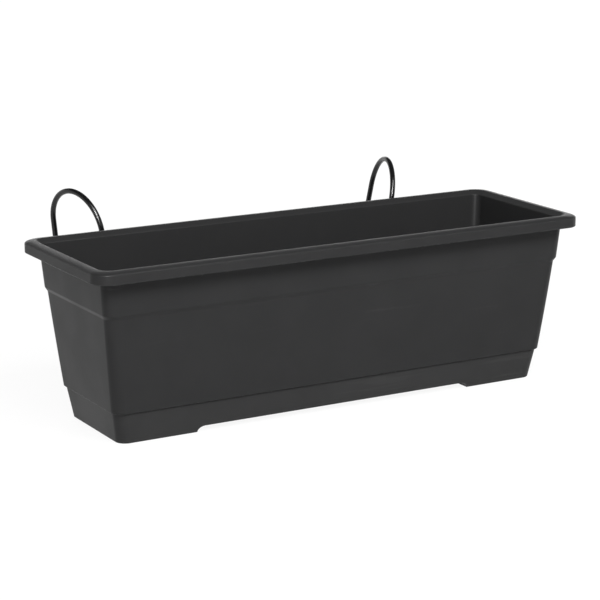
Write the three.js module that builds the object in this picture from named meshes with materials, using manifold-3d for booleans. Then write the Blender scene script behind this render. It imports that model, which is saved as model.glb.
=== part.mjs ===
// Window box planter: a plastic trough, a clip-on drip tray and two wire hooks for a railing.
// Millimetres, +Z up, +X along the trough and +Y to the railing. The pieces are modelled about the
// middle of the trough; the finished planter has its origin on the ground under the middle of the
// whole, hooks included.
import * as THREE from 'three';
import { mergeVertices } from 'three/addons/utils/BufferGeometryUtils.js';
import Module from 'manifold-3d';

const wasm = await Module();
wasm.setup();

// ---- Driving dimensions ------------------------------------------------------------------------

// Outline of the rim, seen from above. Every other wall is an inset from this outline.
const RIM_LENGTH = 500;
const RIM_WIDTH = 168.4;
const RIM_CORNER_RADIUS = 16;
const HEIGHT = 160.9; // ground to the ridge of the rim

// Rim: a vertical skirt, a crown that rises to a ridge, and a bevel down to the inner wall.
const SKIRT_DEPTH = 11; // ridge to the skirt's lower edge
const SKIRT_THICKNESS = 2.4;
const CROWN_WIDTH = 8.9; // skirt's outer face to the ridge
const CROWN_RISE = 3;
const RIDGE_CORNER_RADIUS = 11;
const BEVEL_DEPTH = 4.6; // ridge to the top of the inner wall
const GUTTER_CEILING_DROP = 4; // ridge to the ceiling of the gutter under the rim

// Trough walls. The insets are those of the outer face.
const WALL = 2.5;
const WALL_CORNER_RADIUS = 10.3;
const BAND_TOP_INSET = 11.1;
const BAND_LOW_INSET = 14.1;
const BAND_DEPTH = 41.9; // ridge to the band's lower edge
const STEP_HEIGHT = 3.5;
const STEP_DEPTH = 1.9;
const LIP_INSET = 25.1;
const WALL_BOW = 0.2; // how far the lower wall bulges half way up
const FLOOR_UNDERSIDE_HEIGHT = 38;

// Drain holes, in one row along the floor.
const DRAIN_RADIUS = 5;
const DRAIN_COUNT = 4;
const DRAIN_PITCH = 110;

// Drip tray.
const TRAY_HEIGHT = 28.2;
const SEAM_GAP = 0.5; // between the tray's shoulder and the trough's lip
const LIP_OVERHANG = 1.8; // how far the lip stands proud of the tray
const TRAY_BASE_INSET = 31.6;
const TRAY_CORNER_RADIUS = 10;
const TRAY_CLEARANCE = 0.4; // between the tray's upstand and the trough's lip
const UPSTAND_HEIGHT = 7.8;
const UPSTAND_THICKNESS = 1.8;
const FOOT_LENGTH = 75; // tray's end to the foot's inner corner, at the ground
const RECESS_HEIGHT = 5.3; // ground to the raised middle
const RECESS_CORNER_WIDTH = 8;
const CLIP_PAD_LENGTH = 30;
const CLIP_PAD_HEIGHT = 2.5;
const CLIP_PAD_PROUD = 0.3;
const CLIP_PAD_SPACING = 300;
const POST_RADIUS = 5;
const POST_CLEARANCE = 0.3; // between the posts and the trough's floor
const POST_SPACING_X = 185;
const POST_SPACING_Y = 68;
const POSTS_PER_ROW = 3;

// Hook sockets, moulded under the back rim.
const SOCKET_INSET = 103; // rim's end to a hook's swivel axis
const SOCKET_SETBACK = 5.85; // rim's back edge to a hook's swivel axis
const SOCKET_BORE_RADIUS = 3;
const SOCKET_WALL = 2.4;
const SOCKET_LENGTH = 18.9; // gutter ceiling to the socket's mouth
const SOCKET_BORE_DEPTH = 16.5;

// Wire hooks.
const WIRE_RADIUS = 2.7;
const TIP_CLEARANCE = 0.3; // between the wire's end and the bottom of its bore
const BEND_DROP = 4; // socket's mouth to the start of the return bend
const BEND_WIDTH = 31; // short end to near leg, centre to centre
const ARCH_RADIUS = 35.5; // to the wire's centre
const ARCH_DROP = 8.8; // ridge of the rim to the arch's centre
const ARCH_LEAN = THREE.MathUtils.degToRad(9.3); // outwards, from the vertical
const LEG_FLARE = THREE.MathUtils.degToRad(4.1); // far leg, away from the near leg
const FAR_LEG_LENGTH = 60;
const HOOK_SPLAY = THREE.MathUtils.degToRad(15.2); // rest swivel, outwards

// Fineness of the round stretches.
const CORNER_STEPS = 8;
const CROWN_STEPS = 6;
const BOW_STEPS = 6;
const BORE_SIDES = 24;
const WIRE_HALF_SIDES = 6; // a circle's outline takes twice as many
const WIRE_STEPS = 80;
const OVERSHOOT = 1; // how far a cutter or a joined foot runs past its face

// ---- Heights and insets worked out from them ------------------------------------------------------

const lipZ = TRAY_HEIGHT + SEAM_GAP;
const floorTopZ = FLOOR_UNDERSIDE_HEIGHT + WALL;
const bandLowZ = HEIGHT - BAND_DEPTH;
const stepLowZ = bandLowZ - STEP_HEIGHT;
const stepLowInset = BAND_LOW_INSET + STEP_DEPTH;
const ceilingZ = HEIGHT - GUTTER_CEILING_DROP;
const skirtLowZ = HEIGHT - SKIRT_DEPTH;
const crownLowZ = HEIGHT - CROWN_RISE;
const bevelLowZ = HEIGHT - BEVEL_DEPTH;
const upstandInset = LIP_INSET + WALL + TRAY_CLEARANCE;
const innerCornerRadius = WALL_CORNER_RADIUS - WALL;
const socketX = RIM_LENGTH / 2 - SOCKET_INSET;
const socketOuterRadius = SOCKET_BORE_RADIUS + SOCKET_WALL;
const socketY = RIM_WIDTH / 2 - SOCKET_SETBACK;
const socketMouthZ = ceilingZ - SOCKET_LENGTH;

/** Inset of the lower wall's outer face: a taper with a slight outward bow. */
function lowerWallInset(z) {
  const t = (z - lipZ) / (stepLowZ - lipZ);
  return THREE.MathUtils.lerp(LIP_INSET, stepLowInset, t) - 4 * WALL_BOW * t * (1 - t);
}

/** Inset of the band's outer face. */
function bandInset(z) {
  return THREE.MathUtils.mapLinear(z, bandLowZ, ceilingZ, BAND_LOW_INSET, BAND_TOP_INSET);
}

// ---- Shared shapes ---------------------------------------------------------------------------------

/** Points of a rounded rectangle, counter-clockwise from above, inset from the rim's outline. */
function outline({ inset, z, radius }) {
  const halfLength = RIM_LENGTH / 2 - inset;
  const halfWidth = RIM_WIDTH / 2 - inset;
  const points = [];
  for (let corner = 0; corner < 4; corner += 1) {
    const sideX = corner === 0 || corner === 3 ? 1 : -1;
    const sideY = corner < 2 ? 1 : -1;
    for (let step = 0; step <= CORNER_STEPS; step += 1) {
      const angle = (corner + step / CORNER_STEPS) * (Math.PI / 2);
      const x = sideX * (halfLength - radius) + radius * Math.cos(angle);
      const y = sideY * (halfWidth - radius) + radius * Math.sin(angle);
      points.push(new THREE.Vector3(x, y, z));
    }
  }
  return points;
}

/** Closed skin through a list of outlines, capped flat at the first and the last. */
function loft(levels) {
  const rings = levels.map(outline);
  const count = rings[0].length;
  const points = rings.flat();
  const firstCentre = points.push(new THREE.Vector3(0, 0, levels[0].z)) - 1;
  const lastCentre = points.push(new THREE.Vector3(0, 0, levels.at(-1).z)) - 1;
  const index = [];
  const lastRing = (rings.length - 1) * count;
  for (let i = 0; i < count; i += 1) {
    const next = (i + 1) % count;
    index.push(firstCentre, next, i);
    index.push(lastCentre, lastRing + i, lastRing + next);
    for (let start = 0; start < lastRing; start += count) {
      index.push(start + i, start + next, start + count + next);
      index.push(start + i, start + count + next, start + count + i);
    }
  }
  return new THREE.BufferGeometry().setFromPoints(points).setIndex(index);
}

/** Upright cylinder from one height to another. */
function upright(radius, x, y, lowZ, highZ) {
  const cylinder = new THREE.CylinderGeometry(radius, radius, highZ - lowZ, BORE_SIDES);
  return cylinder.rotateX(Math.PI / 2).translate(x, y, (lowZ + highZ) / 2);
}

/** Extrusion of an outline drawn in X and Z, from -depth / 2 to +depth / 2 along Y. */
function alongY(shape, depth) {
  const block = new THREE.ExtrudeGeometry(shape, { depth, bevelEnabled: false, curveSegments: 6 });
  return block.translate(0, 0, -depth / 2).rotateX(Math.PI / 2);
}

/** Turns a closed geometry into a solid that can be joined and cut. */
function toSolid(geometry) {
  const bare = geometry.clone();
  bare.deleteAttribute('normal');
  bare.deleteAttribute('uv');
  const merged = mergeVertices(bare, 1e-4);
  return new wasm.Manifold(new wasm.Mesh({
    numProp: 3,
    vertProperties: merged.attributes.position.array,
    triVerts: Uint32Array.from(merged.index.array),
  }));
}

/** Turns a solid back into a geometry. */
function toGeometry(solid) {
  const mesh = solid.getMesh();
  const geometry = new THREE.BufferGeometry();
  geometry.setAttribute('position', new THREE.BufferAttribute(mesh.vertProperties, 3));
  geometry.setIndex(new THREE.BufferAttribute(mesh.triVerts, 1));
  geometry.computeVertexNormals();
  return geometry;
}

/** Joins the additions to a base and then takes the cutters away. */
function combine(base, additions, cutters) {
  const joined = additions.reduce((solid, item) => solid.add(toSolid(item)), toSolid(base));
  return toGeometry(cutters.reduce((solid, item) => solid.subtract(toSolid(item)), joined));
}

/** Evenly spaced values, centred on zero. */
function row(count, pitch) {
  return Array.from({ length: count }, (_, i) => (i - (count - 1) / 2) * pitch);
}

// ---- Trough ----------------------------------------------------------------------------------------

/** Levels of one face of the lower wall, from one height to another. */
function lowerWallLevels(fromZ, toZ, extraInset, radius) {
  return Array.from({ length: BOW_STEPS + 1 }, (_, i) => {
    const z = THREE.MathUtils.lerp(fromZ, toZ, i / BOW_STEPS);
    return { inset: lowerWallInset(z) + extraInset, z, radius };
  });
}

/** Levels of the crown: a quarter ellipse from the skirt's outer face up to the ridge. */
function crownLevels() {
  return Array.from({ length: CROWN_STEPS + 1 }, (_, i) => {
    const angle = (i / CROWN_STEPS) * (Math.PI / 2);
    const inset = CROWN_WIDTH * (1 - Math.cos(angle));
    const z = crownLowZ + CROWN_RISE * Math.sin(angle);
    const radius = THREE.MathUtils.lerp(RIM_CORNER_RADIUS, RIDGE_CORNER_RADIUS, inset / CROWN_WIDTH);
    return { inset, z, radius };
  });
}

/** Web that joins a socket to the back wall, following the wall's slope. */
function socketWeb(x) {
  const wallMiddle = (z) => RIM_WIDTH / 2 - bandInset(z) - WALL / 2;
  const side = new THREE.Shape();
  side.moveTo(wallMiddle(socketMouthZ), socketMouthZ);
  side.lineTo(socketY, socketMouthZ);
  side.lineTo(socketY, ceilingZ + OVERSHOOT);
  side.lineTo(wallMiddle(ceilingZ), ceilingZ + OVERSHOOT);
  const width = 2 * socketOuterRadius;
  const web = new THREE.ExtrudeGeometry(side, { depth: width, bevelEnabled: false });
  return web.translate(0, 0, -width / 2).rotateX(Math.PI / 2).rotateZ(Math.PI / 2).translate(x, 0, 0);
}

function makeTrough() {
  const outer = WALL_CORNER_RADIUS;
  const inner = innerCornerRadius;
  const skirtInner = RIM_CORNER_RADIUS - SKIRT_THICKNESS;
  const shell = loft([
    { inset: lowerWallInset(FLOOR_UNDERSIDE_HEIGHT) + WALL, z: FLOOR_UNDERSIDE_HEIGHT, radius: inner },
    { inset: LIP_INSET + WALL, z: lipZ, radius: inner },
    ...lowerWallLevels(lipZ, stepLowZ, 0, outer),
    { inset: BAND_LOW_INSET, z: bandLowZ, radius: outer },
    { inset: BAND_TOP_INSET, z: ceilingZ, radius: outer },
    { inset: SKIRT_THICKNESS, z: ceilingZ, radius: skirtInner },
    { inset: SKIRT_THICKNESS, z: skirtLowZ, radius: skirtInner },
    { inset: 0, z: skirtLowZ, radius: RIM_CORNER_RADIUS },
    ...crownLevels(),
    { inset: bandInset(bevelLowZ) + WALL, z: bevelLowZ, radius: inner },
    { inset: BAND_LOW_INSET + WALL, z: bandLowZ, radius: inner },
    ...lowerWallLevels(stepLowZ, floorTopZ, WALL, inner),
  ]);
  const socketXs = [-socketX, socketX];
  const sockets = socketXs.flatMap((x) => [
    upright(socketOuterRadius, x, socketY, socketMouthZ, ceilingZ + OVERSHOOT),
    socketWeb(x),
  ]);
  const bores = socketXs.map((x) => (
    upright(SOCKET_BORE_RADIUS, x, socketY, socketMouthZ - OVERSHOOT, socketMouthZ + SOCKET_BORE_DEPTH)
  ));
  const drains = row(DRAIN_COUNT, DRAIN_PITCH).map((x) => (
    upright(DRAIN_RADIUS, x, 0, FLOOR_UNDERSIDE_HEIGHT - OVERSHOOT, floorTopZ + OVERSHOOT)
  ));
  return combine(shell, sockets, [...bores, ...drains]);
}

// ---- Drip tray -------------------------------------------------------------------------------------

/** Arched profile of the raised middle, in X and Z, grown by an offset and run down to lowZ. */
function raisedMiddle(offset, lowZ) {
  const cornerX = RIM_LENGTH / 2 - TRAY_BASE_INSET - FOOT_LENGTH + offset;
  const cornerWidth = RECESS_CORNER_WIDTH + offset;
  const top = RECESS_HEIGHT + offset;
  const profile = new THREE.Shape();
  profile.moveTo(-cornerX, lowZ);
  profile.lineTo(cornerX, lowZ);
  profile.lineTo(cornerX, 0);
  profile.absellipse(cornerX - cornerWidth, 0, cornerWidth, top, 0, Math.PI / 2, false);
  profile.absellipse(cornerWidth - cornerX, 0, cornerWidth, top, Math.PI / 2, Math.PI, false);
  return profile;
}

/** Pads on the long sides of the upstand that grip the trough's lip. */
function clipPads() {
  const faceY = RIM_WIDTH / 2 - upstandInset;
  const centreZ = TRAY_HEIGHT + UPSTAND_HEIGHT - CLIP_PAD_HEIGHT;
  const depth = UPSTAND_THICKNESS / 2 + CLIP_PAD_PROUD;
  return row(2, CLIP_PAD_SPACING).flatMap((x) => [-1, 1].map((side) => {
    const pad = new THREE.BoxGeometry(CLIP_PAD_LENGTH, depth, CLIP_PAD_HEIGHT);
    return pad.translate(x, side * (faceY + CLIP_PAD_PROUD - depth / 2), centreZ);
  }));
}

function makeTray() {
  const radius = TRAY_CORNER_RADIUS;
  const inner = radius - WALL;
  const upstandTopZ = TRAY_HEIGHT + UPSTAND_HEIGHT;
  const upstandInnerInset = upstandInset + UPSTAND_THICKNESS;
  const cup = loft([
    { inset: TRAY_BASE_INSET, z: 0, radius },
    { inset: LIP_INSET + LIP_OVERHANG, z: TRAY_HEIGHT, radius },
    { inset: upstandInset, z: TRAY_HEIGHT, radius: inner },
    { inset: upstandInset, z: upstandTopZ, radius: inner },
    { inset: upstandInnerInset, z: upstandTopZ, radius: inner },
    { inset: upstandInnerInset, z: TRAY_HEIGHT, radius: inner },
    { inset: TRAY_BASE_INSET + WALL, z: WALL, radius: inner },
  ]);
  const baseWidth = RIM_WIDTH - 2 * TRAY_BASE_INSET;
  const hump = alongY(raisedMiddle(WALL, 0), baseWidth - WALL);
  const recess = alongY(raisedMiddle(0, -OVERSHOOT), RIM_WIDTH);
  const postFootZ = WALL / 2;
  const postTopZ = FLOOR_UNDERSIDE_HEIGHT - POST_CLEARANCE;
  const posts = row(POSTS_PER_ROW, POST_SPACING_X).flatMap((x) => (
    row(2, POST_SPACING_Y).map((y) => upright(POST_RADIUS, x, y, postFootZ, postTopZ))
  ));
  return combine(cup, [hump, ...posts, ...clipPads()], [recess]);
}

// ---- Wire hooks ------------------------------------------------------------------------------------

/** Arc in space: centre + radius * (along * cos + up * sin), from one angle to another. */
class SpaceArc extends THREE.Curve {
  constructor(centre, along, up, radius, startAngle, endAngle) {
    super();
    Object.assign(this, { centre, along, up, radius, startAngle, endAngle });
  }

  getPoint(t, target = new THREE.Vector3()) {
    const angle = THREE.MathUtils.lerp(this.startAngle, this.endAngle, t);
    target.copy(this.centre);
    target.addScaledVector(this.along, this.radius * Math.cos(angle));
    return target.addScaledVector(this.up, this.radius * Math.sin(angle));
  }
}

/** Centre line of a hook about its swivel axis, with side -1 for the left and 1 for the right. */
function hookPath(side) {
  const away = new THREE.Vector3(0, 1, 0);
  const up = new THREE.Vector3(side * Math.sin(ARCH_LEAN), 0, Math.cos(ARCH_LEAN));
  const bendZ = socketMouthZ - BEND_DROP;
  const archZ = HEIGHT - ARCH_DROP;
  const tip = new THREE.Vector3(0, 0, socketMouthZ + SOCKET_BORE_DEPTH - TIP_CLEARANCE);
  const bendStart = new THREE.Vector3(0, 0, bendZ);
  const bendEnd = new THREE.Vector3(0, BEND_WIDTH, bendZ);
  const bendHandle = (4 / 3) * (BEND_WIDTH / 2);
  const archStart = bendEnd.clone().addScaledVector(up, (archZ - bendZ) / up.z);
  const archCentre = archStart.clone().addScaledVector(away, ARCH_RADIUS);
  const arch = new SpaceArc(archCentre, away, up, ARCH_RADIUS, Math.PI, LEG_FLARE);
  const archEnd = arch.getPoint(1);
  const legEnd = archEnd.clone();
  legEnd.addScaledVector(away, FAR_LEG_LENGTH * Math.sin(LEG_FLARE));
  legEnd.addScaledVector(up, -FAR_LEG_LENGTH * Math.cos(LEG_FLARE));

  const path = new THREE.CurvePath();
  path.add(new THREE.LineCurve3(tip, bendStart));
  path.add(new THREE.CubicBezierCurve3(
    bendStart,
    bendStart.clone().setZ(bendZ - bendHandle),
    bendEnd.clone().addScaledVector(up, -bendHandle),
    bendEnd,
  ));
  path.add(new THREE.LineCurve3(bendEnd, archStart));
  path.add(arch);
  path.add(new THREE.LineCurve3(archEnd, legEnd));
  return path;
}

function makeHook(side) {
  const section = new THREE.Shape().absarc(0, 0, WIRE_RADIUS, 0, 2 * Math.PI, false);
  const extrudePath = hookPath(side);
  const wire = new THREE.ExtrudeGeometry(section, {
    steps: WIRE_STEPS,
    curveSegments: WIRE_HALF_SIDES,
    extrudePath,
  });
  const legEnd = extrudePath.getPoint(1);
  const roundEnd = new THREE.SphereGeometry(WIRE_RADIUS, 2 * WIRE_HALF_SIDES, WIRE_HALF_SIDES);
  return combine(wire, [roundEnd.translate(legEnd.x, legEnd.y, legEnd.z)], []);
}

// ---- Assembly --------------------------------------------------------------------------------------

/** Named sub-part with its own material. */
function piece(name, geometry, finish) {
  const mesh = new THREE.Mesh(geometry, new THREE.MeshStandardMaterial(finish));
  mesh.name = name;
  return mesh;
}

const mouldedPlastic = { color: 0x3a3a3b, roughness: 0.55, metalness: 0 };
const coatedSteel = { color: 0x0b0b0c, roughness: 0.2, metalness: 0 };

const planter = new THREE.Group();
planter.add(piece('trough', makeTrough(), mouldedPlastic));
planter.add(piece('drip_tray', makeTray(), mouldedPlastic));
for (const [name, side] of [['hook_left', -1], ['hook_right', 1]]) {
  const hook = piece(name, makeHook(side), coatedSteel);
  hook.position.set(side * socketX, socketY, 0);
  hook.rotation.z = -side * HOOK_SPLAY;
  planter.add(hook);
}
const reach = new THREE.Box3().setFromObject(planter, true);
planter.position.y = -(reach.min.y + reach.max.y) / 2;

export default planter;
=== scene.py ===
# %% [markdown]
# # Window box planter
# A balcony planter in satin anthracite plastic: a long trough with a crowned rim, a drip tray clipped
# under it, and two black wire hooks that hang it over a railing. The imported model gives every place
# and size. Each of its four solids is rebuilt here with finer edges and a real finish.

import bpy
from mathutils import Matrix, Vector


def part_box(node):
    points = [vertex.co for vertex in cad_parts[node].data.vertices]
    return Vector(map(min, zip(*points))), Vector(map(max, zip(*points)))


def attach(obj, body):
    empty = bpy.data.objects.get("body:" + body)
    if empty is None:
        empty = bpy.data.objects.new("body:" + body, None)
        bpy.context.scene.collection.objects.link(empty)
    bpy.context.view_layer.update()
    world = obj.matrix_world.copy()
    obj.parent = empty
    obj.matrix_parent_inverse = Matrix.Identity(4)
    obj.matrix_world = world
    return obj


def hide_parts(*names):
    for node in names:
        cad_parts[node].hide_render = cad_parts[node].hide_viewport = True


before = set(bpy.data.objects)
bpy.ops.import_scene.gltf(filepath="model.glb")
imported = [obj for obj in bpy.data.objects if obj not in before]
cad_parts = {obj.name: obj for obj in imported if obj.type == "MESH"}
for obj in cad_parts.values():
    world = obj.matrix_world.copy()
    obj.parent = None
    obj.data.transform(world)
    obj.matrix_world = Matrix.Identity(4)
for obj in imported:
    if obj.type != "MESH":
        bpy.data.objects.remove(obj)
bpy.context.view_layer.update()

# %% Tools and units
import math

import bmesh
import bpy
from mathutils import Matrix, Vector

MM = 0.001
trough_low, trough_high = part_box("trough")
MIDDLE_Y = (trough_low.y + trough_high.y) / 2
print("the trough's middle line lies at y =", round(MIDDLE_Y, 5))

# %% [markdown]
# ## Camera
# The photograph looks down on the planter from its left front corner with a long lens. Four numbers
# say where the camera stands: how far round, how high, how far off, and the lens. A small shift
# moves the picture in its frame without turning the camera. They were fitted to the photograph's
# corners, because a guess by eye leaves every edge a few pixels off.

# %% Camera at the photograph's angle
AIM = Vector((0, MIDDLE_Y, 0.08))
CAMERA_DISTANCE = 1.94585
CAMERA_TURN = math.radians(-30.10)
CAMERA_RISE = math.radians(14.0)
SENSOR, LENS = 36, 126.0
SHIFT_X, SHIFT_Y = -0.01367, 0.0200

camera_data = bpy.data.cameras.new("camera")
camera_data.sensor_width, camera_data.lens = SENSOR, LENS
camera_data.shift_x, camera_data.shift_y = SHIFT_X, SHIFT_Y
camera = bpy.data.objects.new("camera", camera_data)
bpy.context.scene.collection.objects.link(camera)
towards_camera = Vector((
    math.sin(CAMERA_TURN) * math.cos(CAMERA_RISE),
    -math.cos(CAMERA_TURN) * math.cos(CAMERA_RISE),
    math.sin(CAMERA_RISE),
))
camera.location = AIM + CAMERA_DISTANCE * towards_camera
camera.rotation_mode = "QUATERNION"
camera.rotation_quaternion = (-towards_camera).to_track_quat("-Z", "Y")
bpy.context.scene.camera = camera
print("camera at", [round(c, 3) for c in camera.location])

# %% [markdown]
# ## Outlines
# Seen from above, every wall of a moulded trough is a rounded rectangle, a little smaller than the
# rim. One helper makes such a loop: a square is stretched to size and its four corners are bevelled.
# Bridging loop to loop then gives a skin, the way a mould maker lofts it. That keeps the long sides
# dead straight, which a subdivided box wouldn't.

# %% One rounded outline
RIM_LENGTH = 500 * MM
RIM_WIDTH = 168.4 * MM
CORNER_STEPS = 12


def outline(bm, inset, height, radius):
    """Adds a rounded rectangle of edges to bm at a height, inset in mm from the rim's outline."""
    known = set(bm.edges)
    square = bmesh.ops.create_grid(bm, x_segments=1, y_segments=1, size=0.5)["verts"]
    size = Vector((RIM_LENGTH - 2 * inset * MM, RIM_WIDTH - 2 * inset * MM, 1))
    bmesh.ops.scale(bm, vec=size, verts=square)
    bmesh.ops.translate(bm, vec=(0, MIDDLE_Y, height), verts=square)
    face = square[0].link_faces[0]
    bmesh.ops.bevel(
        bm, geom=square, offset=radius * MM, offset_type="OFFSET", segments=CORNER_STEPS,
        profile=0.5, affect="VERTICES", clamp_overlap=False, material=-1,
    )
    loop = [e for e in bm.edges if e not in known]
    bmesh.ops.delete(bm, geom=list({f for e in loop for f in e.link_faces}), context="FACES_ONLY")
    return loop


# %% A skin through many outlines
WIDEST_SOFTNESS = 4.0


def loft(levels):
    """Bridges outlines given as (inset, z, corner radius, edge softness) in mm, and closes both ends.

    Two outlines in one plane confuse the bridge, so they are stacked well apart until it is done.
    """
    bm = bmesh.new()
    softness = bm.edges.layers.float.new("bevel_weight_edge")
    loops = []
    for floor_number, (inset, _, radius, soft) in enumerate(levels):
        loops.append(outline(bm, inset, floor_number, radius))
        for edge in loops[-1]:
            edge[softness] = soft / WIDEST_SOFTNESS
    for lower, upper in zip(loops, loops[1:]):
        bmesh.ops.bridge_loops(bm, edges=lower + upper)
    for end in (loops[0], loops[-1]):
        bmesh.ops.contextual_create(bm, geom=end)
    for loop, (_, z, _, _) in zip(loops, levels):
        for corner in {v for edge in loop for v in edge.verts}:
            corner.co.z = z * MM
    bmesh.ops.recalc_face_normals(bm, faces=bm.faces)
    return bm


# %% From a bmesh to an object
def to_object(bm, name):
    """Puts a bmesh in the scene as a smooth object."""
    mesh = bpy.data.meshes.new(name)
    bm.to_mesh(mesh)
    bm.free()
    mesh.shade_smooth()
    thing = bpy.data.objects.new(name, mesh)
    bpy.context.scene.collection.objects.link(thing)
    return thing


# %% [markdown]
# ## Finishing a mesh
# Soft edges come from one Bevel modifier that reads each edge's weight, and holes and bosses from exact
# booleans after it. Both are then baked, so that what follows works on plain faces.

# %% Soft edges, and cuts
def soften(thing, segments=4):
    """Rounds the edges that carry a softness."""
    edge = thing.modifiers.new("Soft edges", "BEVEL")
    edge.limit_method = "WEIGHT"
    edge.width = WIDEST_SOFTNESS * MM
    edge.segments = segments
    edge.use_clamp_overlap = False


def cut_and_join(thing, tool, operation):
    """Joins or cuts with another object, exactly."""
    step = thing.modifiers.new(tool.name, "BOOLEAN")
    step.operation = operation
    step.solver = "EXACT"
    step.object = tool
    tool.hide_render = True


def bake_modifiers(thing, *tools):
    """Makes the modifiers' result the object's own mesh, and removes the tools."""
    bpy.context.view_layer.update()
    depsgraph = bpy.context.evaluated_depsgraph_get()
    rough = thing.data
    thing.data = bpy.data.meshes.new_from_object(thing.evaluated_get(depsgraph))
    thing.modifiers.clear()
    bpy.data.meshes.remove(rough)
    for tool in tools:
        bpy.data.objects.remove(tool)


# %% Shading, and a look at the result
SHARP_ANGLE = math.radians(35)
CM3 = 1e6  # in a cubic metre


def even_normals(thing):
    """Keeps flat faces flat and lets the narrow rounded edges carry the turn.

    Edges that a boolean left square are marked sharp, so that shading doesn't bleed round them.
    """
    bm = bmesh.new()
    bm.from_mesh(thing.data)
    for edge in bm.edges:
        edge.smooth = edge.calc_face_angle(0) < SHARP_ANGLE
    bm.to_mesh(thing.data)
    bm.free()
    shade = thing.modifiers.new("Even shading", "WEIGHTED_NORMAL")
    shade.keep_sharp = True


def report_solid(thing):
    """Prints whether a mesh is closed, its volume and its faces."""
    bm = bmesh.new()
    bm.from_mesh(thing.data)
    open_edges = sum(not e.is_manifold for e in bm.edges)
    volume = bm.calc_volume() * CM3
    print(f"{thing.name}: {len(bm.faces)} faces, {volume:.1f} cm3, {open_edges} open edges")
    bm.free()


# %% [markdown]
# ## Trough
# The trough is one injection moulding. Its section goes from the lip up the tapered wall, over the
# step, up the band, round the gutter and the skirt, over the crown to the ridge, and down the inside
# to the floor. The list below walks along that section; the last number says how soft each edge is.

# %% Heights and insets of the trough's section, in mm
HEIGHT = 160.9
WALL = 2.5
LIP_Z = 28.7
LIP_INSET = 25.1
FLOOR_LOW_Z, FLOOR_TOP_Z = 38, 40.5
STEP_LOW_Z, BAND_LOW_Z = 115.5, 119
STEP_LOW_INSET, BAND_LOW_INSET, BAND_TOP_INSET = 16.0, 14.1, 11.1
CEILING_Z = 156.9
SKIRT_LOW_Z = 149.9
SKIRT = 2.4
CROWN_LOW_Z, CROWN_WIDTH = 157.9, 8.9
BEVEL_LOW_Z, BEVEL_LOW_INSET = 156.9, 13.66
OUTER_RADIUS = 10.3
INNER_RADIUS = OUTER_RADIUS - WALL
RIM_RADIUS, RIDGE_RADIUS = 16, 11
WALL_BOW = 0.2
BOW_STEPS = 8
CROWN_STEPS = 10


def mix(a, b, t):
    """A number part of the way from a to b."""
    return a + (b - a) * t


def wall_inset(z):
    """The lower wall tapers in towards the lip and bows out a little half way up."""
    t = (z - LIP_Z) / (STEP_LOW_Z - LIP_Z)
    return mix(LIP_INSET, STEP_LOW_INSET, t) - 4 * WALL_BOW * t * (1 - t)


def wall_levels(start_z, end_z, extra, radius, first_soft, last_soft):
    """Levels up or down one face of the lower wall."""
    levels = []
    for i in range(BOW_STEPS + 1):
        z = mix(start_z, end_z, i / BOW_STEPS)
        soft = {0: first_soft, BOW_STEPS: last_soft}.get(i, 0)
        levels.append((wall_inset(z) + extra, z, radius, soft))
    return levels


def crown_levels(soft_ridge):
    """A quarter ellipse from the skirt's outer face up to the ridge."""
    levels = []
    for i in range(CROWN_STEPS + 1):
        angle = i / CROWN_STEPS * math.pi / 2
        inset = CROWN_WIDTH * (1 - math.cos(angle))
        z = mix(CROWN_LOW_Z, HEIGHT, math.sin(angle))
        radius = mix(RIM_RADIUS, RIDGE_RADIUS, inset / CROWN_WIDTH)
        levels.append((inset, z, radius, soft_ridge if i == CROWN_STEPS else 0))
    return levels


# %% The trough's skin
trough = to_object(loft([
    (wall_inset(FLOOR_LOW_Z) + WALL, FLOOR_LOW_Z, INNER_RADIUS, 1.2),
    (LIP_INSET + WALL, LIP_Z, INNER_RADIUS, 0.5),
    *wall_levels(LIP_Z, STEP_LOW_Z, 0, OUTER_RADIUS, 0.5, 0.6),
    (BAND_LOW_INSET, BAND_LOW_Z, OUTER_RADIUS, 0.6),
    (BAND_TOP_INSET, CEILING_Z, OUTER_RADIUS, 1.5),
    (SKIRT, CEILING_Z, RIM_RADIUS - SKIRT, 1.0),
    (SKIRT, SKIRT_LOW_Z, RIM_RADIUS - SKIRT, 0.5),
    (0, SKIRT_LOW_Z, RIM_RADIUS, 0.6),
    *crown_levels(0.8),
    (BEVEL_LOW_INSET, BEVEL_LOW_Z, INNER_RADIUS, 0.6),
    (BAND_LOW_INSET + WALL, BAND_LOW_Z, INNER_RADIUS, 1.0),
    *wall_levels(STEP_LOW_Z, FLOOR_TOP_Z, WALL, INNER_RADIUS, 1.0, 4.0),
]), "trough_moulding")
soften(trough)
print("trough skin:", len(trough.data.polygons), "faces")

# %% [markdown]
# ## Sockets and drain holes
# Two bosses under the back rim hold the hooks' short ends, and four holes let water down to the
# tray. Bosses are joined to the skin and bores cut from it with exact booleans, because hand-made
# faces round a hole would be slow and no better. The drain cutter is spun from a little profile that
# flares at both ends, so that each hole gets a rounded edge, as a moulded hole has.

# %% Socket bosses under the back rim
SOCKET_X = 147
SOCKET_INSET, WEB_END_INSET = 5.85, 12.5
SOCKET_Y = RIM_WIDTH / 2 + MIDDLE_Y - SOCKET_INSET * MM
WEB_END_Y = RIM_WIDTH / 2 + MIDDLE_Y - WEB_END_INSET * MM
SOCKET_LOW_Z = 138
OVERSHOOT = 1  # mm by which a tool reaches past the face it meets
MERGE_DISTANCE = 1e-6  # metres; points closer than this are one
SOCKET_RADIUS, BORE_RADIUS, BORE_DEPTH = 5.4, 3, 16.5
MOUTH_SOFTNESS, WEB_SETBACK = 0.6, 0.3


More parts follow.
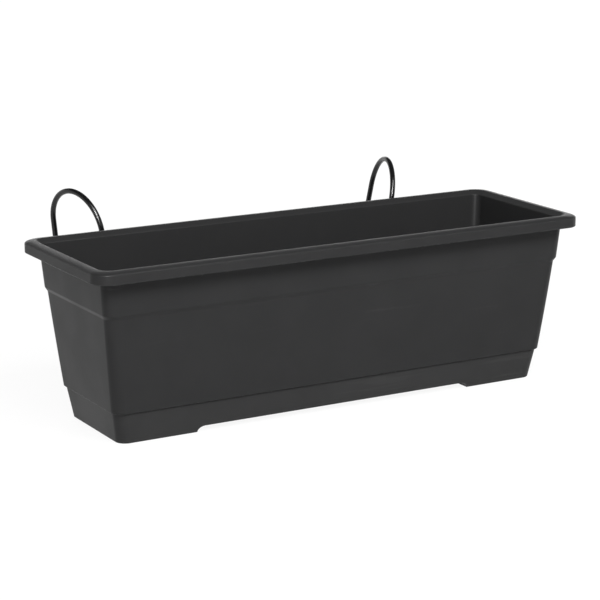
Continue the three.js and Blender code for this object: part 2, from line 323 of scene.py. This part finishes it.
def add_cylinder(bm, radius, x, y, low_z, high_z, sides=48):
    """Adds an upright cylinder; x, heights and radius in mm, y in metres."""
    made = bmesh.ops.create_cone(
        bm, cap_ends=True, segments=sides, radius1=radius * MM, radius2=radius * MM,
        depth=(high_z - low_z) * MM,
    )["verts"]
    bmesh.ops.translate(bm, vec=(x * MM, y, (low_z + high_z) / 2 * MM), verts=made)
    return made


def boss(x):
    """A socket's round post, with its lower edge rounded."""
    bm = bmesh.new()
    add_cylinder(bm, SOCKET_RADIUS, x, SOCKET_Y, SOCKET_LOW_Z, CEILING_Z + OVERSHOOT)
    sole = min(bm.faces, key=lambda f: f.calc_center_median().z)
    bmesh.ops.bevel(bm, geom=list(sole.edges), offset=MOUTH_SOFTNESS * MM, segments=3, profile=0.5,
                    affect="EDGES", clamp_overlap=True, material=-1)
    return to_object(bm, "boss")


def web(x):
    """The flat web that ties a post to the trough's wall."""
    bm = bmesh.new()
    low_z, high_z = SOCKET_LOW_Z + WEB_SETBACK, CEILING_Z + OVERSHOOT
    block = bmesh.ops.create_cube(bm, size=1)["verts"]
    size = (2 * SOCKET_RADIUS * MM, SOCKET_Y - WEB_END_Y, (high_z - low_z) * MM)
    place = (x * MM, (SOCKET_Y + WEB_END_Y) / 2, (low_z + high_z) / 2 * MM)
    bmesh.ops.scale(bm, vec=size, verts=block)
    bmesh.ops.translate(bm, vec=place, verts=block)
    return to_object(bm, "web")


drills = bmesh.new()
tools = []
for x in (-SOCKET_X, SOCKET_X):
    for tool in (boss(x), web(x)):
        cut_and_join(trough, tool, "UNION")
        tools.append(tool)
    add_cylinder(drills, BORE_RADIUS, x, SOCKET_Y, SOCKET_LOW_Z - OVERSHOOT, SOCKET_LOW_Z + BORE_DEPTH)
print("joined under the back rim:", [tool.name for tool in tools])

# %% Drain holes with rounded edges
DRAIN_XS = (-165, -55, 55, 165)
DRAIN_RADIUS, DRAIN_FLARE, FLARE_STEPS, DRAIN_SIDES = 5, 0.8, 5, 40


def drain_cutter(x):
    """Half of a cotton reel's section, spun round the hole's axis."""
    bm = bmesh.new()
    turns = [i / FLARE_STEPS * math.pi / 2 for i in range(FLARE_STEPS + 1)]
    flare = [(DRAIN_RADIUS + DRAIN_FLARE * (1 - math.sin(a)), DRAIN_FLARE * (1 - math.cos(a))) for a in turns]
    section = [(0, FLOOR_LOW_Z - OVERSHOOT), (DRAIN_RADIUS + DRAIN_FLARE, FLOOR_LOW_Z - OVERSHOOT)]
    section += [(r, FLOOR_LOW_Z + rise) for r, rise in flare]
    section += [(r, FLOOR_TOP_Z - rise) for r, rise in reversed(flare)]
    section += [(DRAIN_RADIUS + DRAIN_FLARE, FLOOR_TOP_Z + OVERSHOOT), (0, FLOOR_TOP_Z + OVERSHOOT)]
    points = [bm.verts.new((x * MM + r * MM, MIDDLE_Y, z * MM)) for r, z in section]
    edges = [bm.edges.new(pair) for pair in zip(points, points[1:])]
    bmesh.ops.spin(bm, geom=points + edges, cent=(x * MM, MIDDLE_Y, 0), axis=(0, 0, 1),
                   angle=2 * math.pi, steps=DRAIN_SIDES, use_merge=True, use_duplicate=False)
    bmesh.ops.remove_doubles(bm, verts=bm.verts, dist=MERGE_DISTANCE)
    bmesh.ops.recalc_face_normals(bm, faces=bm.faces)
    return to_object(bm, "drain_cutter")


drills = to_object(drills, "bores")
for tool in (drills, *[drain_cutter(x) for x in DRAIN_XS]):
    cut_and_join(trough, tool, "DIFFERENCE")
    tools.append(tool)
bake_modifiers(trough, *tools)
even_normals(trough)
report_solid(trough)

# %% [markdown]
# ## Drip tray
# The tray is the second moulding: a shallow cup that the trough's lip laps over. Its middle is
# raised, so that it stands on two end feet, and small posts inside carry the trough's floor.

# %% The tray's cup
TRAY_TOP_Z = 28.2
TRAY_BASE_INSET = 31.6
TRAY_TOP_INSET = 26.9
TRAY_RADIUS = 10
UPSTAND_INSET, UPSTAND, UPSTAND_TOP_Z = 28.0, 1.8, 36.0

tray = to_object(loft([
    (TRAY_BASE_INSET, 0, TRAY_RADIUS, 0.8),
    (TRAY_TOP_INSET, TRAY_TOP_Z, TRAY_RADIUS, 0.4),
    (UPSTAND_INSET, TRAY_TOP_Z, TRAY_RADIUS - WALL, 0),
    (UPSTAND_INSET, UPSTAND_TOP_Z, TRAY_RADIUS - WALL, 0.5),
    (UPSTAND_INSET + UPSTAND, UPSTAND_TOP_Z, TRAY_RADIUS - WALL, 0.5),
    (UPSTAND_INSET + UPSTAND, TRAY_TOP_Z, TRAY_RADIUS - WALL, 0.5),
    (TRAY_BASE_INSET + WALL, WALL, TRAY_RADIUS - WALL, 3.0),
]), "tray_moulding")
soften(tray)
print("tray skin:", len(tray.data.polygons), "faces")

# %% [markdown]
# The raised middle is an arch with rounded shoulders, drawn in side view and pushed through the
# tray's width. The same arch, one wall larger, is first joined to the floor from inside.

# %% Raised middle, posts and clip pads
FOOT_CORNER_X = 143.4
ARCH_HEIGHT, ARCH_SHOULDER, SHOULDER_STEPS = 5.3, 8, 10
POST_XS, POST_Y, POST_RADIUS, POST_TOP_Z = (-185, 0, 185), 34, 5, 37.7
PAD_X, PAD_LENGTH, PAD_DEPTH, PAD_HEIGHT, PAD_PROUD = 150, 30, 1.2, 2.5, 0.3
CORNER_SOFTNESS, SQUARE_ANGLE = 0.35, math.radians(50)


def arch(offset, low_z, width, name):
    """The arch's outline, grown by offset and extruded to a width, all in mm."""
    bm = bmesh.new()
    corner, shoulder, top = FOOT_CORNER_X + offset, ARCH_SHOULDER + offset, ARCH_HEIGHT + offset
    turns = [i / SHOULDER_STEPS * math.pi / 2 for i in range(SHOULDER_STEPS + 1)]
    right = [(corner - shoulder * (1 - math.cos(a)), top * math.sin(a)) for a in turns]
    if low_z < 0:
        right.insert(0, (corner, low_z))
    side = right + [(-x, z) for x, z in reversed(right)]
    near = MIDDLE_Y - width / 2 * MM
    face = bm.faces.new([bm.verts.new((x * MM, near, z * MM)) for x, z in side])
    pushed = bmesh.ops.extrude_face_region(bm, geom=[face])["geom"]
    far = [g for g in pushed if isinstance(g, bmesh.types.BMVert)]
    bmesh.ops.translate(bm, vec=(0, width * MM, 0), verts=far)
    bmesh.ops.recalc_face_normals(bm, faces=bm.faces)
    return to_object(bm, name)


base_width = RIM_WIDTH / MM - 2 * TRAY_BASE_INSET
hump = arch(WALL, 0, base_width - WALL, "hump")
recess = arch(0, -OVERSHOOT, RIM_WIDTH / MM, "recess")
fittings = bmesh.new()
for x in POST_XS:
    for side in (-1, 1):
        y = MIDDLE_Y + side * POST_Y * MM
        add_cylinder(fittings, POST_RADIUS, x, y, WALL / 2, POST_TOP_Z)
for x in (-PAD_X, PAD_X):
    for side in (-1, 1):
        pad = bmesh.ops.create_cube(fittings, size=1)["verts"]
        bmesh.ops.scale(fittings, vec=(PAD_LENGTH * MM, PAD_DEPTH * MM, PAD_HEIGHT * MM), verts=pad)
        pad_y = RIM_WIDTH / 2 - (UPSTAND_INSET - PAD_PROUD + PAD_DEPTH / 2) * MM
        place = (x * MM, MIDDLE_Y + side * pad_y, (UPSTAND_TOP_Z - PAD_HEIGHT) * MM)
        bmesh.ops.translate(fittings, vec=place, verts=pad)
fittings = to_object(fittings, "fittings")
cut_and_join(tray, hump, "UNION")
cut_and_join(tray, fittings, "UNION")
cut_and_join(tray, recess, "DIFFERENCE")
corners = tray.modifiers.new("Square corners eased", "BEVEL")
corners.limit_method = "ANGLE"
corners.angle_limit = SQUARE_ANGLE
corners.width = CORNER_SOFTNESS * MM
corners.segments = 2
bake_modifiers(tray, hump, fittings, recess)
even_normals(tray)
report_solid(tray)

# %% [markdown]
# ## Hooks
# Each hook is one length of round steel wire: up out of its socket, round a return bend, up over the
# railing in an arch that leans outwards, and down behind it. A Bezier curve with a round bevel is the
# natural way to bend wire, because its handles give straight runs and true arcs. The curve is then
# made a mesh and its cut ends are rounded.

# %% The wire's line
WIRE_RADIUS, TIP_CLEARANCE = 2.62, 0.3
TIP_Z = SOCKET_LOW_Z + BORE_DEPTH - TIP_CLEARANCE
BEND_Z, BEND_WIDTH = 134, 31
ARCH_RADIUS, ARCH_Z = 35.5, 152.1
LEAN, FLARE, SPLAY = (math.radians(a) for a in (9.3, 4.1, 15.2))
FAR_LEG = 60
ARCH_PARTS = 4
STRAIGHT_HANDLE = 5


def wire_knots(side):
    """The wire's knots in mm, each with the two handles' offsets, about its swivel axis."""
    away, down = Vector((0, 1, 0)), Vector((0, 0, -1))
    up = Vector((side * math.sin(LEAN), 0, math.cos(LEAN)))
    tip, bend_start = Vector((0, 0, TIP_Z)), Vector((0, 0, BEND_Z))
    bend_end = Vector((0, BEND_WIDTH, BEND_Z))
    handle = 4 / 3 * BEND_WIDTH / 2
    arch_start = bend_end + up * ((ARCH_Z - BEND_Z) / up.z)
    centre = arch_start + away * ARCH_RADIUS
    near = up * ((arch_start - bend_end).length / 3)
    knots = [
        (tip, -down, down * STRAIGHT_HANDLE),
        (bend_start, -down * STRAIGHT_HANDLE, down * handle),
        (bend_end, -up * handle, near),
    ]
    part = (math.pi - FLARE) / ARCH_PARTS
    reach = 4 / 3 * math.tan(part / 4) * ARCH_RADIUS
    for i in range(ARCH_PARTS + 1):
        a = math.pi - i * part
        place = centre + ARCH_RADIUS * (away * math.cos(a) + up * math.sin(a))
        along = away * math.sin(a) - up * math.cos(a)
        knots.append((place, -(near if i == 0 else along * reach), along * reach))
    end, _, along = knots[-1]
    leg = along.normalized()
    knots[-1] = (end, -along, leg * FAR_LEG / 3)
    last = end + leg * (FAR_LEG + WIRE_RADIUS)
    knots.append((last, -leg * FAR_LEG / 3, leg))
    return knots


print("knots on each wire:", len(wire_knots(1)))

# %% Bending the two hooks
TIP_SOFTNESS, FOOT_SOFTNESS = 0.5, 2.5
WIRE_ROUNDNESS, BEND_STEPS = 6, 14


def hook(side, name):
    """Bends one hook; side is -1 for the left and 1 for the right."""
    curve = bpy.data.curves.new(name, "CURVE")
    curve.dimensions = "3D"
    curve.bevel_depth = WIRE_RADIUS * MM
    curve.bevel_resolution = WIRE_ROUNDNESS
    curve.resolution_u = BEND_STEPS
    spline = curve.splines.new("BEZIER")
    knots = wire_knots(side)
    spline.bezier_points.add(len(knots) - 1)
    for point, (place, before, after) in zip(spline.bezier_points, knots):
        point.handle_left_type = point.handle_right_type = "FREE"
        point.co = place * MM
        point.handle_left = (place + before) * MM
        point.handle_right = (place + after) * MM
    wire = bpy.data.objects.new(name, curve)
    bpy.context.scene.collection.objects.link(wire)
    bpy.context.view_layer.update()
    mesh = bpy.data.meshes.new_from_object(wire.evaluated_get(bpy.context.evaluated_depsgraph_get()))
    bpy.data.objects.remove(wire)

    bm = bmesh.new()
    bm.from_mesh(mesh)
    bmesh.ops.remove_doubles(bm, verts=bm.verts, dist=MERGE_DISTANCE)
    rims = [e for e in bm.edges if e.is_boundary]
    for radius, segments, rim in (
        (TIP_SOFTNESS, 2, [e for e in rims if e.verts[0].co.z > ARCH_Z * MM]),
        (FOOT_SOFTNESS, 6, [e for e in rims if e.verts[0].co.z < ARCH_Z * MM]),
    ):
        bmesh.ops.contextual_create(bm, geom=rim)
        bmesh.ops.bevel(bm, geom=rim, offset=radius * MM, segments=segments, profile=0.5,
                        affect="EDGES", clamp_overlap=False, material=-1)
    turn = Matrix.Rotation(-side * SPLAY, 4, "Z")
    place = Matrix.Translation((side * SOCKET_X * MM, SOCKET_Y, 0))
    bmesh.ops.transform(bm, matrix=place @ turn, verts=bm.verts)
    bmesh.ops.recalc_face_normals(bm, faces=bm.faces)
    return to_object(bm, name)


hook_left = hook(-1, "hook_left_wire")
hook_right = hook(1, "hook_right_wire")
report_solid(hook_left)

# %% [markdown]
# ## Finishes
# Both mouldings are one plastic, coloured right through, and their mould was blasted with fine grit.
# That leaves a satin grain and no paint, so wear only polishes the edges and scuffs the faces. The edges'
# lighter tone is also a painted highlight that brightens the rim's ridge. An image could carry such marks,
# but procedural noise stays sharp at any distance and needs no unwrapping.
# Effects that both plastics and the wire's coating share are node groups, built once.

# %% Small helpers for node trees
def new_group(name, inputs, outputs):
    """A node group of plain numbers; gives its tree, its inputs and its outputs."""
    tree = bpy.data.node_groups.new(name, "ShaderNodeTree")
    for label, value in inputs.items():
        socket = tree.interface.new_socket(label, in_out="INPUT", socket_type="NodeSocketFloat")
        socket.default_value = value
    for label in outputs:
        tree.interface.new_socket(label, in_out="OUTPUT", socket_type="NodeSocketFloat")
    start = tree.nodes.new("NodeGroupInput")
    end = tree.nodes.new("NodeGroupOutput")
    return tree, start.outputs, end.inputs


def feed(tree, value, socket):
    """Sets a socket to a plain value, or links another socket to it."""
    if isinstance(value, bpy.types.NodeSocket):
        tree.links.new(value, socket)
    else:
        socket.default_value = value


def combine(tree, operation, *values):
    """One Math node on sockets or numbers."""
    node = tree.nodes.new("ShaderNodeMath")
    node.operation = operation
    for value, socket in zip(values, node.inputs):
        feed(tree, value, socket)
    return node.outputs[0]


def spread(tree, value, low, high, to_low=0.0, to_high=1.0):
    """Eases a value between two limits."""
    node = tree.nodes.new("ShaderNodeMapRange")
    node.interpolation_type = "SMOOTHSTEP"
    settings = {"Value": value, "From Min": low, "From Max": high, "To Min": to_low, "To Max": to_high}
    for label, setting in settings.items():
        feed(tree, setting, node.inputs[label])
    return node.outputs["Result"]


def noise(tree, scale, detail, stretch=(1, 1, 1)):
    """Noise in the piece's own space; stretch squeezes it along an axis."""
    place = tree.nodes.new("ShaderNodeTexCoord")
    mapping = tree.nodes.new("ShaderNodeMapping")
    mapping.inputs["Scale"].default_value = stretch
    tree.links.new(place.outputs["Object"], mapping.inputs["Vector"])
    node = tree.nodes.new("ShaderNodeTexNoise")
    tree.links.new(mapping.outputs[0], node.inputs["Vector"])
    feed(tree, scale, node.inputs["Scale"])
    node.inputs["Detail"].default_value = detail
    return node.outputs["Fac"]


# %% [markdown]
# Grain is two sizes of noise, so that it doesn't read as one even ripple. Worn edges come from
# comparing the true normal with a rounded one: they differ only near an edge. Their lighter tone is
# partly wear and partly a painted highlight. Scuffs are noise stretched along the planter, thresholded
# so that only a few streaks are left.

# %% Group: blasted grain
COARSE_SCALE, COARSE_SHARE = 0.37, 0.5
TONE_SCALE = 22.0

grain, given, result = new_group("blasted grain", {"Scale": 1000.0}, ("Height", "Tone"))
coarse_scale = combine(grain, "MULTIPLY", given["Scale"], COARSE_SCALE)
fine, coarse = noise(grain, given["Scale"], 2.0), noise(grain, coarse_scale, 1.0)
grain.links.new(combine(grain, "MULTIPLY_ADD", coarse, COARSE_SHARE, fine), result["Height"])
grain.links.new(spread(grain, noise(grain, TONE_SCALE, 3.0), 0.3, 0.7), result["Tone"])

# %% Group: worn edges, also a painted highlight
FLAT, TURNED = 0.998, 0.96  # how well the two normals agree, off and on an edge
LEAST_WEAR_AND_SHEEN = 0.3

edge_wear_and_sheen, given, result = new_group("worn edges and painted sheen", {"Width": 0.002, "Patches": 60.0}, ("Mask",))
rounded = edge_wear_and_sheen.nodes.new("ShaderNodeBevel")
rounded.samples = 4
edge_wear_and_sheen.links.new(given["Width"], rounded.inputs["Radius"])
surface = edge_wear_and_sheen.nodes.new("ShaderNodeNewGeometry")
agreement = edge_wear_and_sheen.nodes.new("ShaderNodeVectorMath")
agreement.operation = "DOT_PRODUCT"
edge_wear_and_sheen.links.new(rounded.outputs[0], agreement.inputs[0])
edge_wear_and_sheen.links.new(surface.outputs["Normal"], agreement.inputs[1])
# This edge mask marks wear and a painted highlight alike: it lightens every edge.
edge = spread(edge_wear_and_sheen, agreement.outputs["Value"], FLAT, TURNED)
patches = spread(edge_wear_and_sheen, noise(edge_wear_and_sheen, given["Patches"], 4.0), 0.35, 0.65, LEAST_WEAR_AND_SHEEN, 1.0)
edge_wear_and_sheen.links.new(combine(edge_wear_and_sheen, "MULTIPLY", edge, patches), result["Mask"])

# %% Group: scuffs
STREAK = (0.12, 1, 1.6)  # squeezes noise along the planter into streaks
SCUFF_EDGE = 0.12
SCUFF_AREAS = 9.0

scuffs, given, result = new_group("scuffs", {"Scale": 90.0, "Rarity": 0.62}, ("Mask",))
streaks = noise(scuffs, given["Scale"], 5.0, stretch=STREAK)
ceiling = combine(scuffs, "ADD", given["Rarity"], SCUFF_EDGE)
where = spread(scuffs, noise(scuffs, SCUFF_AREAS, 1.0), 0.45, 0.6)
marks = combine(scuffs, "MULTIPLY", spread(scuffs, streaks, given["Rarity"], ceiling), where)
scuffs.links.new(marks, result["Mask"])
print("groups:", [g.name for g in bpy.data.node_groups])


# %% A finish that uses the groups
# The worn tone on edges is partly wear and partly a painted highlight.
EDGE_WEAR_AND_SHEEN_TINT, SCUFF_TINT = 0.5, 0.35  # how much of the worn tone shows through
GRAIN_STRENGTH = 0.35


def place_group(tree, group, **values):
    """Puts a group in a tree, with its inputs set; gives its outputs."""
    node = tree.nodes.new("ShaderNodeGroup")
    node.node_tree = group
    for label, value in values.items():
        node.inputs[label].default_value = value
    return node.outputs


def shade_between(tree, amount, low, high):
    """A colour between two greys, as a socket."""
    node = tree.nodes.new("ShaderNodeMix")
    node.data_type = "RGBA"
    tree.links.new(amount, node.inputs["Factor"])
    for label, value in (("A", low), ("B", high)):
        socket = [s for s in node.inputs if s.name == label and s.type == "RGBA"][0]
        feed(tree, value if isinstance(value, bpy.types.NodeSocket) else (*value, 1), socket)
    return [s for s in node.outputs if s.type == "RGBA"][0]


def finish(name, dark, light, worn_and_sheen_tone, roughness, gloss, grain_scale, grain_depth, scuff_rarity):
    """A through-coloured finish: two close tones, worn edges that carry a painted highlight, scuffs and a
    grain.

    Roughness is given for the dull tone, the clear tone, and as what wear and scuffs add.
    """
    material = bpy.data.materials.new(name)
    material.use_nodes = True
    tree = material.node_tree
    shader = tree.nodes["Principled BSDF"]
    shader.inputs["Specular IOR Level"].default_value = gloss
    texture = place_group(tree, grain, Scale=grain_scale)
    edges = place_group(tree, edge_wear_and_sheen)["Mask"]
    marks = place_group(tree, scuffs, Rarity=scuff_rarity)["Mask"]

    colour = shade_between(tree, texture["Tone"], dark, light)
    # Wear and painted highlight: every edge is lightened towards the worn tone.
    colour = shade_between(tree, combine(tree, "MULTIPLY", edges, EDGE_WEAR_AND_SHEEN_TINT), colour, worn_and_sheen_tone)
    colour = shade_between(tree, combine(tree, "MULTIPLY", marks, SCUFF_TINT), colour, worn_and_sheen_tone)
    tree.links.new(colour, shader.inputs["Base Color"])

    dull, clear, edge_change, scuff_change = roughness
    value = spread(tree, texture["Tone"], 0.0, 1.0, dull, clear)
    value = combine(tree, "MULTIPLY_ADD", edges, edge_change, value)
    value = combine(tree, "MULTIPLY_ADD", marks, scuff_change, value)
    tree.links.new(value, shader.inputs["Roughness"])

    bump = tree.nodes.new("ShaderNodeBump")
    bump.inputs["Strength"].default_value = GRAIN_STRENGTH
    bump.inputs["Distance"].default_value = grain_depth
    tree.links.new(texture["Height"], bump.inputs["Height"])
    tree.links.new(bump.outputs[0], shader.inputs["Normal"])
    return material


# %% [markdown]
# The trough is handled and stands in sight, so its grain is clean. The tray sits low, holds water and
# drags on the ground, so it is duller, with more scuffs. Its tone is painted a shade lighter: painted light
# for the light that the floor bounces onto its down-tilted walls. The wire is dipped in a gloss black
# coating with the shallow orange peel of a dried film.

# %% The three finishes
trough_plastic = finish(
    "satin anthracite plastic",
    (0.0245, 0.0245, 0.0249), (0.0268, 0.0268, 0.0272), (0.050, 0.050, 0.051),
    roughness=(0.38, 0.33, -0.16, 0.07), gloss=0.085, grain_scale=1100, grain_depth=0.00006,
    scuff_rarity=0.64,
)
# The tray's tones are painted lighter than the trough's, as painted light for the floor's bounce on its
# tilted walls.
tray_plastic = finish(
    "satin anthracite tray plastic painted lighter",
    (0.0315, 0.0315, 0.0318), (0.0350, 0.0350, 0.0353), (0.050, 0.050, 0.050),
    roughness=(0.42, 0.36, -0.05, 0.08), gloss=0.085, grain_scale=1100, grain_depth=0.00006,
    scuff_rarity=0.59,
)
coating = finish(
    "gloss black coating",
    (0.0035, 0.0035, 0.004), (0.005, 0.005, 0.0055), (0.012, 0.012, 0.012),
    roughness=(0.22, 0.16, 0.06, 0.12), gloss=0.32, grain_scale=420, grain_depth=0.00003,
    scuff_rarity=0.60,
)
for piece, node, slot, material in (
    (trough, "trough", "trough_plastic", trough_plastic),
    (tray, "drip_tray", "tray_plastic", tray_plastic),
    (hook_left, "hook_left", "hook_coating", coating),
    (hook_right, "hook_right", "hook_coating", coating),
):
    piece.data.materials.clear()
    piece.data.materials.append(material)
    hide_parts(node)
    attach(piece, node)
    print(piece.name, "has the finish", material.name)

# %% [markdown]
# ## Floor
# The planter stands on a wide pale floor that catches its soft shadow. A photographer's white sweep is
# brighter than the object's own light could make it, so the floor also glows, but only for the camera
# and for mirrored rays. Light Path tells those rays apart, and the lamps stay free to suit the planter.

# %% The floor's mesh
FLOOR_HALF_SIZE = 8
floor_mesh = bmesh.new()
bmesh.ops.create_grid(floor_mesh, x_segments=1, y_segments=1, size=FLOOR_HALF_SIZE)
floor = to_object(floor_mesh, "floor")
print("floor:", 2 * FLOOR_HALF_SIZE, "m square")

# %% A switch between kinds of ray
MIRRORED = ("Is Glossy Ray", "Is Transmission Ray")
SEEN = ("Is Camera Ray",)


def switch(tree, low, high, ray_outputs):
    """A number that is high for the named kinds of ray and low for all others."""
    path = tree.nodes.new("ShaderNodeLightPath")
    chosen = path.outputs[ray_outputs[0]]
    for name in ray_outputs[1:]:
        chosen = combine(tree, "MAXIMUM", chosen, path.outputs[name])
    choice = tree.nodes.new("ShaderNodeMix")
    for value, label in ((chosen, "Factor"), (low, "A"), (high, "B")):
        feed(tree, value, choice.inputs[label])
    return choice.outputs["Result"]


# %% The floor's finish
FLOOR_TONE = 0.8
FLOOR_GLOW_SHARE = 0.88
NEAR_GLOW, FAR_GLOW = 1.04, 1.14
NEAR, FAR = 0.3, 2.2  # metres from the middle

floor_finish = bpy.data.materials.new("pale floor")
floor_finish.use_nodes = True
tree = floor_finish.node_tree
tree.nodes.clear()
paint = tree.nodes.new("ShaderNodeBsdfDiffuse")
paint.inputs["Color"].default_value = (FLOOR_TONE, FLOOR_TONE, FLOOR_TONE, 1)
place = tree.nodes.new("ShaderNodeTexCoord")
distance = tree.nodes.new("ShaderNodeVectorMath")
distance.operation = "LENGTH"
tree.links.new(place.outputs["Object"], distance.inputs[0])
glow_strength = spread(tree, distance.outputs["Value"], NEAR, FAR, NEAR_GLOW, FAR_GLOW)
glow = tree.nodes.new("ShaderNodeEmission")
tree.links.new(switch(tree, glow_strength, 1.0, MIRRORED), glow.inputs["Strength"])
share = switch(tree, switch(tree, 0.0, 1.0, MIRRORED), FLOOR_GLOW_SHARE, SEEN)
blend = tree.nodes.new("ShaderNodeMixShader")
out = tree.nodes.new("ShaderNodeOutputMaterial")
tree.links.new(share, blend.inputs["Fac"])
tree.links.new(paint.outputs[0], blend.inputs[1])
tree.links.new(glow.outputs[0], blend.inputs[2])
tree.links.new(blend.outputs[0], out.inputs["Surface"])
floor.data.materials.append(floor_finish)
print("floor's glow near and far, after its share:",
      [round(FLOOR_GLOW_SHARE * g, 2) for g in (NEAR_GLOW, FAR_GLOW)])

# %% [markdown]
# ## World
# The world is white to the camera and a weak fill on dull surfaces. In reflections it is white at the
# horizon and dim above, as a studio with a white sweep and a dark ceiling is. That contrast draws the
# bright line along the rim's ridge and leaves the crown beside it dark.

# %% World
FILL = 0.27
HORIZON_GLOSS, CEILING_GLOSS = 1.0, 0.12
HORIZON_TOP, CEILING_START = 0.22, 0.5  # sines of the angle above the horizon

world = bpy.data.worlds.new("studio")
bpy.context.scene.world = world
world.use_nodes = True
tree = world.node_tree
background = tree.nodes["Background"]
background.inputs["Color"].default_value = (1, 1, 1, 1)
direction = tree.nodes.new("ShaderNodeTexCoord")
parts = tree.nodes.new("ShaderNodeSeparateXYZ")
tree.links.new(direction.outputs["Generated"], parts.inputs[0])
mirror_light = spread(
    tree, parts.outputs["Z"], HORIZON_TOP, CEILING_START, HORIZON_GLOSS, CEILING_GLOSS,
)
unseen = switch(tree, FILL, mirror_light, MIRRORED)
tree.links.new(switch(tree, unseen, 1.0, SEEN), background.inputs["Strength"])
print("world's fill:", FILL)

# %% [markdown]
# ## Lamps
# Two softboxes in front give the long face its even tone and put the shadow under the rim. A third, kept
# out of reflections, fills the back. A long low strip behind the planter runs a thin highlight along the
# ridge. An upright strip near the camera shows only in mirrored rays: it draws a pale streak in the inner
# corner without flattening the shade beside it. Each is placed by angles, as a photographer would.

# %% Softboxes
def softbox(name, turn, rise, distance, width, height, power, lights):
    """A soft lamp aimed at the planter; turn is 0 in front and 90 at the right, in degrees.

    It lights everything, or only dull surfaces, or only shows in mirrored rays.
    """
    lamp = bpy.data.lights.new(name, "AREA")
    lamp.shape = "RECTANGLE"
    lamp.size, lamp.size_y = width, height
    lamp.energy = power
    a, e = math.radians(turn), math.radians(rise)
    towards = Vector((math.sin(a) * math.cos(e), -math.cos(a) * math.cos(e), math.sin(e)))
    box = bpy.data.objects.new(name, lamp)
    box.location = AIM + distance * towards
    box.rotation_mode = "QUATERNION"
    box.rotation_quaternion = (-towards).to_track_quat("-Z", "Y")
    box.visible_camera = False
    box.visible_glossy = lights != "dull"
    box.visible_diffuse = lights != "mirrored"
    bpy.context.scene.collection.objects.link(box)


SOFTBOXES = [
    ("front softbox", 2, 47, 2.0, 0.9, 0.7, 30, "all"),
    ("left softbox", -32, 42, 2.0, 0.9, 0.7, 15, "all"),
    ("back softbox", 165, 30, 2.0, 1.2, 0.9, 12, "dull"),
    ("low back strip", 150, 13, 2.2, 1.6, 0.16, 2, "all"),
    ("upright strip", -30, 25, 2.0, 0.3, 0.9, 90, "mirrored"),
]
for settings in SOFTBOXES:
    softbox(*settings)
bpy.context.scene.view_settings.view_transform = "Standard"
print("lamps:", [settings[0] for settings in SOFTBOXES])
